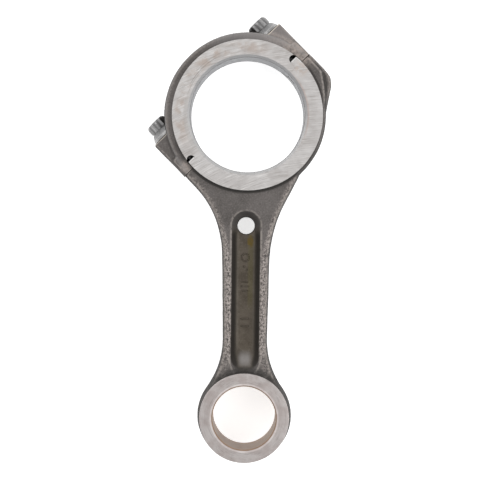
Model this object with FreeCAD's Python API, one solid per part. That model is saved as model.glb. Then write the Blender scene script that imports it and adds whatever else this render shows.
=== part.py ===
import FreeCAD
import Part
import math
import os

# Connecting rod with an obliquely split big end, in millimetres.
# Origin: centre of the big-end bore, half way through its width.
# +Z runs along both bores, +Y from the small end to the big end.
# The joint between rod and cap is a plane through the big-end bore, turned 45 degrees from X.
# In that plane "u" runs across the joint and "v" runs square to it, towards the cap.

# Overall
CENTRE_DISTANCE = 214.5
JOINT_ANGLE = 45.0

# Big end
BIG_BORE_R = 40.5
BIG_CHAMFER = 1.9
BIG_HALF_WIDTH = 19.5
THRUST_RING_R = 53.2
BIG_FORGED_HALF = 16.0
ROD_RIM_R = 56.3
CAP_RIM_R = 59.7
RIM_DRAFT = 4.0

# Small end and its bush
SMALL_HALF_WIDTH = 18.0
SMALL_EYE_R = 33.7
SMALL_EYE_DRAFT = 6.0
BUSH_OUTER_R = 24.5
PIN_BORE_R = 22.5
BUSH_CHAMFER = 0.9

# I-beam shank
RAIL_HALF = 13.0
SHANK_HALF_LOW = 16.0
SHANK_HALF_HIGH = 17.0
SHANK_LOW_Y = -157.0
SHANK_HIGH_Y = -104.0
LEFT_FLARE_RISE = 5.7
SHANK_DRAFT = 4.0
LOW_FLARE_R = 60.0
RIGHT_FLARE_R = 95.0
RIGHT_FLARE_TURN = 27.0
LEFT_FLARE_R = 70.0
LEFT_FLARE_TURN = 45.0
EDGE_ROUND = 1.6
RIM_ROUND = 2.2
CORNER_ROUND = 2.5
FLASH_PROUD = 0.3
FLASH_HALF = 0.9

# Channel on each side of the web
WEB_HALF = 3.6
CHANNEL_HALF = 9.9
FLOOR_HALF = 6.9
CHANNEL_TOP_Y = -78.4
CHANNEL_END_Y = -171.8
FLOOR_END_Y = -160.8
CHANNEL_ROUND = 2.2
MOUTH_ROUND = 1.3
WEB_HOLE_R = 6.0

# Joint: a tongue on the rod at each side, a round-bottomed groove in the cap
JOINT_HALF_ROD = 62.8
JOINT_HALF_CAP = 62.5
TONGUE_U = 50.4
TONGUE_HALF = 3.0
TONGUE_HEIGHT = 5.2
TONGUE_BEVEL = 0.7
GROOVE_DEPTH = 8.3
GROOVE_GAP = 0.04

# Cap screws
SCREW_U = 50.4
SCREW_R = 6.0
SCREW_WAIST_R = 5.3
SCREW_TIP_V = -24.0
SEAT_V = 31.0
FLANGE_R = 10.3
FLANGE_EDGE = 2.0
FLANGE_HEIGHT = 5.4
HEAD_R = 7.9
HEAD_END_V = 43.4
HEAD_POINTS = 12
HEAD_RECESS_R = 3.6
HEAD_RECESS_DEPTH = 2.2
CAP_HOLE_R = 6.35
TAPPED_R = 6.08
TAPPED_END_V = -27.0
COUNTERBORE_R = 11.2
BOSS_HALF = 12.0
BOSS_INNER = 34.0
PAD_V = 15.6

# Notches for the bearing shells' tangs
CAP_TANG_Z = -12.5
ROD_TANG_Z = 2.0
TANG_HALF = 3.2


def vec(x, y, z=0.0):
    return FreeCAD.Vector(x, y, z)


def joint_point(u, v, z=0.0):
    """A point given across the joint (u), square to it (v) and along the bore (z)."""
    angle = math.radians(JOINT_ANGLE)
    x = u * math.cos(angle) - v * math.sin(angle)
    y = u * math.sin(angle) + v * math.cos(angle)
    return vec(x, y, z)


def joint_axis():
    """Unit vector square to the joint plane, pointing into the cap."""
    return joint_point(0.0, 1.0)


def mirror_z(shape):
    return shape.mirror(vec(0, 0, 0), vec(0, 0, 1))


def both_sides(upper):
    """A half above the middle plane, joined to its mirror image below it."""
    return upper.fuse(mirror_z(upper)).removeSplitter()


def offset_polygon(points, inset):
    """The same corners with every side moved inwards by inset. Corners run anticlockwise."""
    count = len(points)
    moved = []
    for i in range(count):
        before = points[i - 1]
        here = points[i]
        after = points[(i + 1) % count]
        d1 = here.sub(before).normalize()
        d2 = after.sub(here).normalize()
        n1 = vec(-d1.y, d1.x)
        n2 = vec(-d2.y, d2.x)
        scale = inset / (1.0 + n1.dot(n2))
        moved.append(here.add(n1.add(n2).multiply(scale)))
    return moved


def polygon_wire(points, z):
    corners = [vec(p.x, p.y, z) for p in points]
    corners.append(corners[0])
    return Part.makePolygon(corners)


def drafted_block(points, half, draft):
    """A forged block with the given outline at the middle plane, narrowing and rounded both ways."""
    inset = half * math.tan(math.radians(draft))
    base = polygon_wire(points, 0.0)
    top = polygon_wire(offset_polygon(points, inset), half)
    upper = Part.makeLoft([base, top], True, True)
    upper = upper.makeFillet(CORNER_ROUND, [e for e in upper.Edges if e.BoundBox.ZLength > half - 0.1])
    upper = upper.makeFillet(EDGE_ROUND, [e for e in upper.Edges if e.BoundBox.ZMin > half - 0.1])
    return both_sides(upper)


def drafted_disc(centre, radius, half, draft, rounding):
    inset = half * math.tan(math.radians(draft))
    base = vec(centre.x, centre.y, 0.0)
    upper = Part.makeCone(radius, radius - inset, half, base, vec(0, 0, 1))
    upper = upper.makeFillet(rounding, [e for e in upper.Edges if e.BoundBox.ZMin > half - 0.1])
    return both_sides(upper)


def slab(wire):
    """The thin land left on the parting plane where the forging's flash was trimmed."""
    return Part.Face(wire).extrude(vec(0, 0, 2 * FLASH_HALF))


def flash_block(points):
    return slab(polygon_wire(offset_polygon(points, -FLASH_PROUD), -FLASH_HALF))


def flash_disc(centre, radius):
    base = vec(centre.x, centre.y, -FLASH_HALF)
    return Part.makeCylinder(radius + FLASH_PROUD, 2 * FLASH_HALF, base, vec(0, 0, 1))


def joint_half_space(side):
    """A large block on the rod side (-1) or the cap side (+1) of the joint plane."""
    reach = 120.0
    points = [
        joint_point(-reach, 0.0, -60.0),
        joint_point(reach, 0.0, -60.0),
        joint_point(reach, side * 320.0, -60.0),
        joint_point(-reach, side * 320.0, -60.0),
    ]
    points.append(points[0])
    return Part.Face(Part.makePolygon(points)).extrude(vec(0, 0, 120.0))


def arc_through(centre, start, end, z):
    """The shorter arc about centre from start to end."""
    radius = start.sub(centre).Length
    middle = start.add(end).multiply(0.5).sub(centre).normalize().multiply(radius).add(centre)
    return Part.Arc(
        vec(start.x, start.y, z),
        vec(middle.x, middle.y, z),
        vec(end.x, end.y, z),
    ).toShape()


def shank_side(side, inset, z):
    """One edge of the shank from the small eye up to the big end, and its two end points."""
    low = vec(SHANK_HALF_LOW, SHANK_LOW_Y)
    high = vec(SHANK_HALF_HIGH, SHANK_HIGH_Y)
    along = high.sub(low).normalize()
    out = vec(along.y, -along.x)
    eye = vec(0.0, -CENTRE_DISTANCE)

    # centre of the flare that is tangent to the straight edge and to the small eye
    gap = low.add(vec(out.x, out.y).multiply(LOW_FLARE_R)).sub(eye)
    square = gap.dot(out)
    reach = math.sqrt((SMALL_EYE_R + LOW_FLARE_R) ** 2 - square ** 2)
    low_centre = eye.add(vec(out.x, out.y).multiply(square)).add(vec(along.x, along.y).multiply(reach))
    eye_touch = low_centre.sub(eye).normalize().multiply(SMALL_EYE_R - inset).add(eye)
    low_touch = low_centre.sub(vec(out.x, out.y).multiply(LOW_FLARE_R + inset))

    flare_r = RIGHT_FLARE_R if side > 0 else LEFT_FLARE_R
    turn = math.radians(RIGHT_FLARE_TURN if side > 0 else LEFT_FLARE_TURN)
    rise = 0.0 if side > 0 else LEFT_FLARE_RISE
    flare_start = high.add(vec(along.x, along.y).multiply(rise))
    top_centre = flare_start.add(vec(out.x, out.y).multiply(flare_r))
    high_touch = top_centre.sub(vec(out.x, out.y).multiply(flare_r + inset))
    leave = vec(math.sin(turn), math.cos(turn))
    away = vec(leave.y, -leave.x)
    flare_end = top_centre.sub(vec(away.x, away.y).multiply(flare_r + inset))

    # straight run from the flare: to the joint plane on the left, into the rim on the right
    run = 22.0 if side > 0 else (-flare_end.y - flare_end.x) / (leave.y + leave.x)
    last = flare_end.add(vec(leave.x, leave.y).multiply(run))

    def place(p):
        return vec(side * p.x, p.y, z)

    def line(p, q):
        return Part.LineSegment(place(p), place(q)).toShape()

    edges = [
        arc_through(place(low_centre).sub(vec(0, 0, z)), place(eye_touch), place(low_touch), z),
        line(low_touch, high_touch),
        arc_through(place(top_centre).sub(vec(0, 0, z)), place(high_touch), place(flare_end), z),
        line(flare_end, last),
    ]
    return edges, place(eye_touch), place(last)


def shank_wire(inset, z):
    right, right_low, right_high = shank_side(1, inset, z)
    left, left_low, left_high = shank_side(-1, inset, z)
    eye = vec(0.0, -CENTRE_DISTANCE, z)
    inner_left = joint_point(-20.0, 0.0, z)
    inner_right = vec(14.0, -20.0, z)
    closing = [
        Part.LineSegment(right_high, inner_right).toShape(),
        Part.LineSegment(inner_right, inner_left).toShape(),
        Part.LineSegment(inner_left, left_high).toShape(),
    ]
    low = [
        Part.LineSegment(left_low, eye).toShape(),
        Part.LineSegment(eye, right_low).toShape(),
    ]
    left.reverse()
    return Part.Wire(right + closing + left + low)


def side_profile():
    """Block that sets the forging's thickness: thick at the ends, thinner along the shank."""
    heights = [
        (60.0, BIG_FORGED_HALF),
        (-58.0, BIG_FORGED_HALF),
        (-79.0, RAIL_HALF),
        (-166.0, RAIL_HALF),
        (-184.0, RAIL_HALF + 2.4),
        (-250.0, RAIL_HALF + 2.4),
    ]
    upper = [vec(-100.0, y, h) for y, h in heights]
    lower = [vec(-100.0, y, -h) for y, h in reversed(heights)]
    corners = upper + lower
    corners.append(corners[0])
    block = Part.Face(Part.makePolygon(corners)).extrude(vec(200.0, 0, 0))
    bends = []
    for edge in block.Edges:
        direction = edge.tangentAt(edge.FirstParameter)
        y = edge.CenterOfMass.y
        if abs(direction.x) > 0.99 and -200.0 < y < -40.0:
            bends.append(edge)
    return block.makeFillet(30.0, bends)


def stadium(half, y_top, y_end, z):
    """Round-ended slot outline on the shank's centre line."""
    right = Part.LineSegment(vec(half, y_end, z), vec(half, y_top, z)).toShape()
    top = Part.Arc(vec(half, y_top, z), vec(0, y_top + half, z), vec(-half, y_top, z)).toShape()
    left = Part.LineSegment(vec(-half, y_top, z), vec(-half, y_end, z)).toShape()
    end = Part.Arc(vec(-half, y_end, z), vec(0, y_end - half, z), vec(half, y_end, z)).toShape()
    return Part.Wire([right, top, left, end])


def channel():
    """Tool for the drafted channel on the +Z side of the web."""
    slope = (CHANNEL_HALF - FLOOR_HALF) / (RAIL_HALF - WEB_HALF)
    ramp = (FLOOR_END_Y - CHANNEL_END_Y) / (RAIL_HALF - WEB_HALF)
    over = 5.0
    floor = stadium(FLOOR_HALF, CHANNEL_TOP_Y, FLOOR_END_Y, WEB_HALF)
    mouth = stadium(
        CHANNEL_HALF + slope * over,
        CHANNEL_TOP_Y,
        CHANNEL_END_Y - ramp * over,
        RAIL_HALF + over,
    )
    tool = Part.makeLoft([floor, mouth], True, True)
    rims = [e for e in tool.Edges if e.BoundBox.ZMax < WEB_HALF + 0.01]
    return tool.makeFillet(CHANNEL_ROUND, rims)


def shoulder_outline():
    return [
        joint_point(32.0, -44.0),
        joint_point(39.5, -39.3),
        joint_point(58.4, -26.6),
        joint_point(62.0, -21.8),
        joint_point(JOINT_HALF_ROD, -14.5),
        joint_point(JOINT_HALF_ROD, 8.0),
        joint_point(30.0, 8.0),
    ]


def rod_shoulder():
    """Forged shoulder round the far screw: a high inner step and a lower outer one."""
    high = [
        joint_point(34.0, -42.0),
        joint_point(48.3, -31.2),
        joint_point(53.4, -25.0),
        joint_point(60.6, -15.0),
        joint_point(61.0, 8.0),
        joint_point(30.0, 8.0),
    ]
    lower = drafted_block(shoulder_outline(), BOSS_HALF, SHANK_DRAFT)
    upper = drafted_block(high, BIG_FORGED_HALF, RIM_DRAFT)
    return lower.fuse([upper, flash_block(shoulder_outline())]).common(joint_half_space(-1))


def tongue(side):
    """Locating tongue across the rod's joint face, with a bevelled top."""
    centre = side * TONGUE_U
    half = TONGUE_HALF - GROOVE_GAP
    section = [
        joint_point(centre - half, -3.0, -BIG_HALF_WIDTH),
        joint_point(centre + half, -3.0, -BIG_HALF_WIDTH),
        joint_point(centre + half, TONGUE_HEIGHT - TONGUE_BEVEL, -BIG_HALF_WIDTH),
        joint_point(centre + half - TONGUE_BEVEL, TONGUE_HEIGHT, -BIG_HALF_WIDTH),
        joint_point(centre - half + TONGUE_BEVEL, TONGUE_HEIGHT, -BIG_HALF_WIDTH),
        joint_point(centre - half, TONGUE_HEIGHT - TONGUE_BEVEL, -BIG_HALF_WIDTH),
    ]
    section.append(section[0])
    bar = Part.Face(Part.makePolygon(section)).extrude(vec(0, 0, 2 * BIG_HALF_WIDTH))
    return bar


def groove(side):
    """Round-bottomed groove in the cap that takes one tongue."""
    straight = GROOVE_DEPTH - TONGUE_HALF
    width = TONGUE_HALF
    start = side * TONGUE_U
    length = 2 * BIG_HALF_WIDTH + 2.0
    corners = [
        joint_point(start - width, -1.0, -length / 2),
        joint_point(start + width, -1.0, -length / 2),
        joint_point(start + width, straight, -length / 2),
        joint_point(start - width, straight, -length / 2),
    ]
    corners.append(corners[0])
    slot = Part.Face(Part.makePolygon(corners)).extrude(vec(0, 0, length))
    bottom = Part.makeCylinder(width, length, joint_point(start, straight, -length / 2), vec(0, 0, 1))
    return slot.fuse(bottom)


def big_end_bore():
    """Big-end bore with a chamfer at both mouths."""
    length = 2 * BIG_HALF_WIDTH
    hole = Part.makeCylinder(BIG_BORE_R, length + 2.0, vec(0, 0, -length / 2 - 1.0), vec(0, 0, 1))
    mouth = Part.makeCone(
        BIG_BORE_R,
        BIG_BORE_R + BIG_CHAMFER + 1.0,
        BIG_CHAMFER + 1.0,
        vec(0, 0, BIG_HALF_WIDTH - BIG_CHAMFER),
        vec(0, 0, 1),
    )
    return hole.fuse(mouth).fuse(mirror_z(mouth))


def along_screw(side, v0, v1, r0, r1):
    """Cylinder or cone on one screw axis between two heights above the joint."""
    base = joint_point(side * SCREW_U, v0)
    if abs(r0 - r1) < 1e-9:
        return Part.makeCylinder(r0, v1 - v0, base, joint_axis())
    return Part.makeCone(r0, r1, v1 - v0, base, joint_axis())


def tapped_hole(side):
    """Blind tapped hole in the rod, with a drilled cone and a countersunk mouth."""
    drilled = along_screw(side, TAPPED_END_V, TONGUE_HEIGHT + 1.0, TAPPED_R, TAPPED_R)
    cone = along_screw(side, TAPPED_END_V - 3.4, TAPPED_END_V, 0.4, TAPPED_R)
    mouth = along_screw(side, -1.0, TONGUE_HEIGHT + 1.0, TAPPED_R, TAPPED_R + 0.9)
    return drilled.fuse(cone).fuse(mouth)


def tang_notch(centre_u, radius, z_mid):
    """Milled notch for a bearing shell's tang, at the joint beside the far screw."""
    return Part.makeCylinder(
        radius, 2 * TANG_HALF, joint_point(centre_u, 0.0, z_mid - TANG_HALF), vec(0, 0, 1)
    )


def edges_where(shape, test):
    return [e for e in shape.Edges if test(e)]


def shank_beam():
    """Drafted shank with rounded rails, a channel each side and its trimmed flash land."""
    inset = BIG_FORGED_HALF * math.tan(math.radians(SHANK_DRAFT))
    upper = Part.makeLoft([shank_wire(0.0, 0.0), shank_wire(inset, BIG_FORGED_HALF)], True, True)
    beam = both_sides(upper).common(side_profile())
    beam = beam.makeFillet(EDGE_ROUND, edges_where(beam, on_rail))
    beam = beam.cut([channel(), mirror_z(channel())])
    beam = beam.makeFillet(MOUTH_ROUND, edges_where(beam, on_channel_mouth))
    return beam.fuse(slab(shank_wire(-FLASH_PROUD, -FLASH_HALF)))


def on_rail(edge):
    """True for the long outer edges of the rails, outside the eye and the big end."""
    middle = edge.CenterOfMass
    long_way = edge.BoundBox.YLength > 3.0
    side_edge = abs(middle.x) > 12.0 and abs(middle.z) > RAIL_HALF - 1.5
    return long_way and side_edge and -205.0 < middle.y < -30.0 and edge.BoundBox.YMax < -25.0


def on_channel_mouth(edge):
    box = edge.BoundBox
    within = max(abs(box.XMin), abs(box.XMax)) < CHANNEL_HALF + 1.5
    high = min(abs(box.ZMin), abs(box.ZMax)) > RAIL_HALF - 0.2
    return within and high and CHANNEL_END_Y - 12.0 < edge.CenterOfMass.y < -60.0


def rod_forging():
    shank = shank_beam()
    eye_centre = vec(0, -CENTRE_DISTANCE)
    rim = drafted_disc(vec(0, 0), ROD_RIM_R, BIG_FORGED_HALF, RIM_DRAFT, RIM_ROUND)
    rim = rim.fuse(flash_disc(vec(0, 0), ROD_RIM_R)).common(joint_half_space(-1))
    eye = drafted_disc(eye_centre, SMALL_EYE_R, SMALL_HALF_WIDTH, SMALL_EYE_DRAFT, 0.5)
    eye = eye.fuse(flash_disc(eye_centre, SMALL_EYE_R))
    disc = Part.makeCylinder(THRUST_RING_R, 2 * BIG_HALF_WIDTH, vec(0, 0, -BIG_HALF_WIDTH), vec(0, 0, 1))
    ring = disc.common(joint_half_space(-1))
    around = drafted_disc(vec(0, 0), ROD_RIM_R, BIG_FORGED_HALF, RIM_DRAFT, RIM_ROUND).fuse(disc)

    body = shank.fuse([rim, eye, rod_shoulder(), ring])
    for side in (-1, 1):
        body = body.fuse(tongue(side).common(around))

    housing = Part.makeCylinder(BUSH_OUTER_R, 60.0, vec(0, -CENTRE_DISTANCE, -30.0), vec(0, 0, 1))
    web_hole = Part.makeCylinder(WEB_HOLE_R, 20.0, vec(0, CHANNEL_TOP_Y, -10.0), vec(0, 0, 1))
    notch = tang_notch(33.5, 9.5, ROD_TANG_Z).common(joint_half_space(-1))
    body = body.cut([big_end_bore(), housing, web_hole, notch])
    for side in (-1, 1):
        body = body.cut(tapped_hole(side))
    return body.removeSplitter()


def cap_block(side, outer, v0, v1):
    """Corners of a rectangle beside the bore, from v0 to v1 above the joint."""
    points = [
        joint_point(side * BOSS_INNER, v0),
        joint_point(side * outer, v0),
        joint_point(side * outer, v1),
        joint_point(side * BOSS_INNER, v1),
    ]
    if side < 0:
        points.reverse()
    return points


def screw_boss(side):
    """Forged boss round one screw, milled flat where the screw's flange seats."""
    outline = cap_block(side, JOINT_HALF_CAP, -8.0, SEAT_V + 3.0)
    forged = drafted_block(outline, BOSS_HALF, SHANK_DRAFT).fuse(flash_block(outline))
    milled = polygon_wire(cap_block(side, JOINT_HALF_CAP + 10.0, SEAT_V, SEAT_V + 20.0), -30.0)
    return forged.cut(Part.Face(milled).extrude(vec(0, 0, 60.0)))


def joint_pad(side):
    """The boss's thicker end against the joint."""
    outline = cap_block(side, JOINT_HALF_CAP - 0.6, -8.0, PAD_V)
    return drafted_block(outline, BIG_FORGED_HALF, RIM_DRAFT)


def big_end_cap():
    """Cap: a forged rim, a boss and a higher joint pad at each side, and the thrust ring."""
    rim = drafted_disc(vec(0, 0), CAP_RIM_R, BIG_FORGED_HALF, RIM_DRAFT, RIM_ROUND)
    ring = Part.makeCylinder(THRUST_RING_R, 2 * BIG_HALF_WIDTH, vec(0, 0, -BIG_HALF_WIDTH), vec(0, 0, 1))
    pieces = [ring, flash_disc(vec(0, 0), CAP_RIM_R)]
    for side in (-1, 1):
        pieces.append(screw_boss(side))
        pieces.append(joint_pad(side))
    body = rim.fuse(pieces).common(joint_half_space(1))
    body = body.cut(big_end_bore())
    for side in (-1, 1):
        body = body.cut(groove(side))
        body = body.cut(along_screw(side, -2.0, SEAT_V + 4.0, CAP_HOLE_R, CAP_HOLE_R))
        body = body.cut(along_screw(side, SEAT_V, SEAT_V + 40.0, COUNTERBORE_R, COUNTERBORE_R))
    notch = tang_notch(34.5, 8.0, CAP_TANG_Z).common(joint_half_space(1))
    body = body.cut(notch)
    return body.removeSplitter()


def small_end_bush():
    length = 2 * SMALL_HALF_WIDTH
    base = vec(0, -CENTRE_DISTANCE, -SMALL_HALF_WIDTH)
    outer = Part.makeCylinder(BUSH_OUTER_R, length, base, vec(0, 0, 1))
    inner = Part.makeCylinder(PIN_BORE_R, length, base, vec(0, 0, 1))
    bush = outer.cut(inner)
    inner_rims = []
    for edge in bush.Edges:
        if abs(edge.Length - 2 * math.pi * PIN_BORE_R) < 0.1:
            inner_rims.append(edge)
    return bush.makeChamfer(BUSH_CHAMFER, inner_rims)


def head_star(side, v0, v1):
    """Twelve-point drive: a star of points and valleys, as two crossed hexagons leave."""
    valley = HEAD_R * math.cos(math.radians(30)) / math.cos(math.radians(15))
    base = joint_point(side * SCREW_U, v0)
    across = joint_point(1.0, 0.0)
    corners = []
    for i in range(2 * HEAD_POINTS):
        radius = HEAD_R if i % 2 == 0 else valley
        angle = math.pi * i / HEAD_POINTS
        offset = vec(across.x, across.y).multiply(radius * math.cos(angle))
        corners.append(base.add(offset).add(vec(0, 0, radius * math.sin(angle))))
    corners.append(corners[0])
    return Part.Face(Part.makePolygon(corners)).extrude(joint_axis().multiply(v1 - v0))


def cap_screw(side):
    """Flanged screw with a twelve-point head, a waisted shank and a bevelled tip."""
    flange_top = SEAT_V + FLANGE_HEIGHT
    sections = [
        along_screw(side, SEAT_V, SEAT_V + FLANGE_EDGE, FLANGE_R, FLANGE_R),
        along_screw(side, SEAT_V + FLANGE_EDGE, flange_top, FLANGE_R, HEAD_R),
        along_screw(side, SEAT_V - 9.0, SEAT_V, SCREW_R, SCREW_R),
        along_screw(side, SEAT_V - 11.0, SEAT_V - 9.0, SCREW_WAIST_R, SCREW_R),
        along_screw(side, 1.0, SEAT_V - 11.0, SCREW_WAIST_R, SCREW_WAIST_R),
        along_screw(side, SCREW_TIP_V + 1.0, 1.0, SCREW_R, SCREW_R),
        along_screw(side, SCREW_TIP_V, SCREW_TIP_V + 1.0, SCREW_R - 1.0, SCREW_R),
    ]
    head = head_star(side, flange_top - 0.5, HEAD_END_V)
    dome = along_screw(side, flange_top - 0.5, HEAD_END_V, HEAD_R + 4.4, HEAD_R - 1.2)
    screw = head.common(dome)
    for section in sections:
        screw = screw.fuse(section)
    floor = HEAD_END_V - HEAD_RECESS_DEPTH
    recess = along_screw(side, floor, HEAD_END_V, HEAD_RECESS_R - 0.5, HEAD_RECESS_R)
    return screw.cut(recess).removeSplitter()


def save(shape, name):
    if len(shape.Solids) != 1:
        print("warning:", name, "has", len(shape.Solids), "solids")
    solid = shape.Solids[0]
    if not solid.isValid():
        print("warning:", name, "is not valid")
    solid.exportStep(os.path.join("parts", name + ".step"))
    box = solid.BoundBox
    low = [round(v, 2) for v in (box.XMin, box.YMin, box.ZMin)]
    high = [round(v, 2) for v in (box.XMax, box.YMax, box.ZMax)]
    print(name, "volume", round(solid.Volume), "from", low, "to", high)


os.makedirs("parts", exist_ok=True)
save(rod_forging(), "rod_forging")
save(big_end_cap(), "big_end_cap")
save(small_end_bush(), "small_end_bush")
save(cap_screw(-1), "cap_screw_near")
save(cap_screw(1), "cap_screw_far")
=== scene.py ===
import math

import bmesh
import bpy
import numpy as np
from mathutils import Matrix, Vector
from mathutils.kdtree import KDTree


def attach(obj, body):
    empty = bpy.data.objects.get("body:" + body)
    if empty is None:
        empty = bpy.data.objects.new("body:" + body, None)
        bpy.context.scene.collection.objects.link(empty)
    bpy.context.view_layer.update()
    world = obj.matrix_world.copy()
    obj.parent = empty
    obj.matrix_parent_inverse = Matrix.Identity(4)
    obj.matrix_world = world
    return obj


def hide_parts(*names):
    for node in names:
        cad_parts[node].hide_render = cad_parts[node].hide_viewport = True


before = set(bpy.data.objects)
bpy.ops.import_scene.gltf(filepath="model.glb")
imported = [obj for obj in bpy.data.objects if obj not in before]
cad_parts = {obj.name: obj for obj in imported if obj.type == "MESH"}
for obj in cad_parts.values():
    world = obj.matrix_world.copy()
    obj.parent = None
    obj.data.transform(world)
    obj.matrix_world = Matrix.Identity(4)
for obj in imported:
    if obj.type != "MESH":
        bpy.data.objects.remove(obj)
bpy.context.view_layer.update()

MM = 0.001
ROOT2 = math.sqrt(2.0)

# Sizes of the CAD part, in millimetres. U runs across the joint and V square to it, to the cap.
CENTRE_DISTANCE = 214.5
BORE_R = 40.5
RING_R = 53.2
BIG_HALF = 19.5
FORGED_HALF = 16.0
SMALL_HALF = 18.0
BUSH_OUTER_R = 24.5
CHANNEL_HALF = 9.9
CHANNEL_TOP_Y = -78.4
WEB_HALF = 3.6
SCREW_U = 50.4
SEAT_V = 31.0
TAPPED_END = -27.05
TONGUE_TOP = 5.2
TONGUE_HALF = 3.0
GROOVE_TOP = 8.3

# Where machined surfaces are looked for, a little past their edges
BIG_END_REACH = 70.0
CHAMFER_REACH = 2.1
JOINT_INNER_U = 38.0
TONGUE_REACH = 3.1
SCREW_HOLE_REACH = 7.1
SEAT_REACH = 11.3
EYE_REACH = 36.0
EYE_FACE_DEPTH = 0.55
WEB_HOLE_REACH = 6.1

# The skin over the forgings, in millimetres and rounds of relaxing
ROD_VOXEL = 0.84
CAP_VOXEL = 0.6
CUT_SLACK = 0.45
HALF_WAY = 0.5
SOFTEN_ROUNDS = 5
CORNER_ROUNDS = 10
CHANNEL_ROUNDS = 14
RAMP_ROUNDS = 12
SUNK_UNDER_CUT = 0.16
JOINT_GAP = 0.05
OUTERMOST_U = 61.6

# The screws, from the tip to the head
SCREW_TIP = -24.0
THREAD_END = 1.0
THREAD_ROOT = 5.12
THREAD_TIP_R = 4.9
THREAD_GROWTH = 1.09
PITCH = 1.5
STEPS_PER_TURN = 10
WAIST_R = 5.28
PILOT_R = 5.99
FLANGE_R = 10.28
FLANGE_TOP_R = 10.05
HEAD_BASE_V = SEAT_V + 5.3
HEAD_END = 43.4
HEAD_R = 7.88
AROUND_SCREW = 144

# The marks on the channel floors
MARK_STEP = 0.16
MARK_SOFTNESS = 0.9
MARK_SUNK = 0.45
MARK_RISE = 1.25
MARK_FOOT = 0.8

# Camera, in millimetres
CAMERA_PLACE = (-3.15, -59.73, 1164.8)
CAMERA_TARGET = (-4.29, -88.70, 0.0)
CAMERA_UP = (-0.0112, 0.9999, 0.0)
CAMERA_LENS = 121.9
SENSOR = 36.0

# Light and floor, in metres and watts
LIT_POINT = (0, -0.08, 0)
KEY_WATTS = 6.2
FILL_WATTS = 6.4
SKY = 0.80
FLOOR_GLOW = 0.66
FLOOR_HALF = 4.0

# Colours that more than one material uses
FACED_DARK = (0.540, 0.478, 0.461)
FACED_PALE = (0.655, 0.610, 0.596)


# ---------------------------------------------------------------- geometry helpers

def lattice_noise(points, size, seed):
    """Smooth random values from 0 to 1 at each point, varying over about size."""
    p = points / size + seed * 17.37
    base = np.floor(p).astype(np.int64)
    part = p - base
    part = part * part * (3.0 - 2.0 * part)
    total = np.zeros(len(p))
    for dx in (0, 1):
        for dy in (0, 1):
            for dz in (0, 1):
                corner = base + np.array([dx, dy, dz])
                mixed = corner[:, 0] * 73856093 ^ corner[:, 1] * 19349663
                mixed = mixed ^ corner[:, 2] * 83492791
                mixed = (mixed ^ (mixed >> 13)) * 1274126177 & 0x7FFFFFFF
                value = ((mixed ^ (mixed >> 16)) & 0xFFFF) / 65535.0
                weight = np.where(dx, part[:, 0], 1 - part[:, 0])
                weight = weight * np.where(dy, part[:, 1], 1 - part[:, 1])
                weight = weight * np.where(dz, part[:, 2], 1 - part[:, 2])
                total += weight * value
    return total


def joint_coordinates(points):
    """u across the joint and v square to it, towards the cap."""
    u = (points[:, 0] + points[:, 1]) / ROOT2
    v = (points[:, 1] - points[:, 0]) / ROOT2
    return u, v


def machined(points, slack):
    """True where a point lies on a surface cut after forging. Bare numbers are tolerances."""
    x, y, z = points.T
    height = np.abs(z)
    r = np.hypot(x, y)
    u, v = joint_coordinates(points)
    off_screw = np.abs(u) - SCREW_U
    from_screw = np.hypot(off_screw, z)
    from_eye = np.hypot(x, y + CENTRE_DISTANCE)
    thrust = (height > BIG_HALF - 0.03 - slack) & (r < RING_R + slack)
    wall = (np.abs(r - RING_R) < 0.06 + slack) & (height > FORGED_HALF - 0.05 + slack)
    joint = (np.abs(v) < 0.03 + slack) & (np.abs(u) > JOINT_INNER_U)
    tongue = (v > -0.05) & (v < GROOVE_TOP + 0.1 + slack)
    tongue = tongue & (np.abs(off_screw) < TONGUE_REACH + slack)
    hole = (from_screw < SCREW_HOLE_REACH + slack) & (v < SEAT_V + slack) & (v > TAPPED_END - slack)
    seat = (from_screw < SEAT_REACH + slack) & (v > SEAT_V - 0.05 - slack)
    big_end = (r < BIG_END_REACH) & (thrust | wall | joint | tongue | hole | seat)
    bore = r < BORE_R + CHAMFER_REACH + slack
    eye_face = height > SMALL_HALF - EYE_FACE_DEPTH - slack
    eye = (from_eye < EYE_REACH) & (eye_face | (from_eye < BUSH_OUTER_R + 0.1 + slack))
    from_web_hole = np.hypot(x, y - CHANNEL_TOP_Y)
    web_hole = (from_web_hole < WEB_HOLE_REACH + slack) & (height < WEB_HALF + slack)
    return big_end | bore | eye | web_hole


def positions(mesh):
    flat = np.empty(len(mesh.vertices) * 3, np.float32)
    mesh.vertices.foreach_get("co", flat)
    return flat.reshape(-1, 3).astype(float)


def put_positions(mesh, points):
    mesh.vertices.foreach_set("co", points.astype(np.float32).ravel())
    mesh.update()


def normals(mesh):
    flat = np.empty(len(mesh.vertices) * 3, np.float32)
    mesh.vertex_normals.foreach_get("vector", flat)
    return flat.reshape(-1, 3).astype(float)


def relax(points, edges, weight, rounds):
    """Moves points towards the mean of their neighbours, each by its own weight."""
    count = np.zeros(len(points))
    np.add.at(count, edges[:, 0], 1)
    np.add.at(count, edges[:, 1], 1)
    for _ in range(rounds):
        total = np.zeros_like(points)
        for axis in range(3):
            total[:, axis] += np.bincount(edges[:, 0], points[edges[:, 1], axis], len(points))
            total[:, axis] += np.bincount(edges[:, 1], points[edges[:, 0], axis], len(points))
        mean = total / np.maximum(count, 1)[:, None]
        points = points + (mean - points) * weight[:, None]
    return points


def new_object(name, mesh, material):
    obj = bpy.data.objects.new(name, mesh)
    bpy.context.scene.collection.objects.link(obj)
    mesh.materials.clear()
    mesh.materials.append(material)
    return obj


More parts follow.
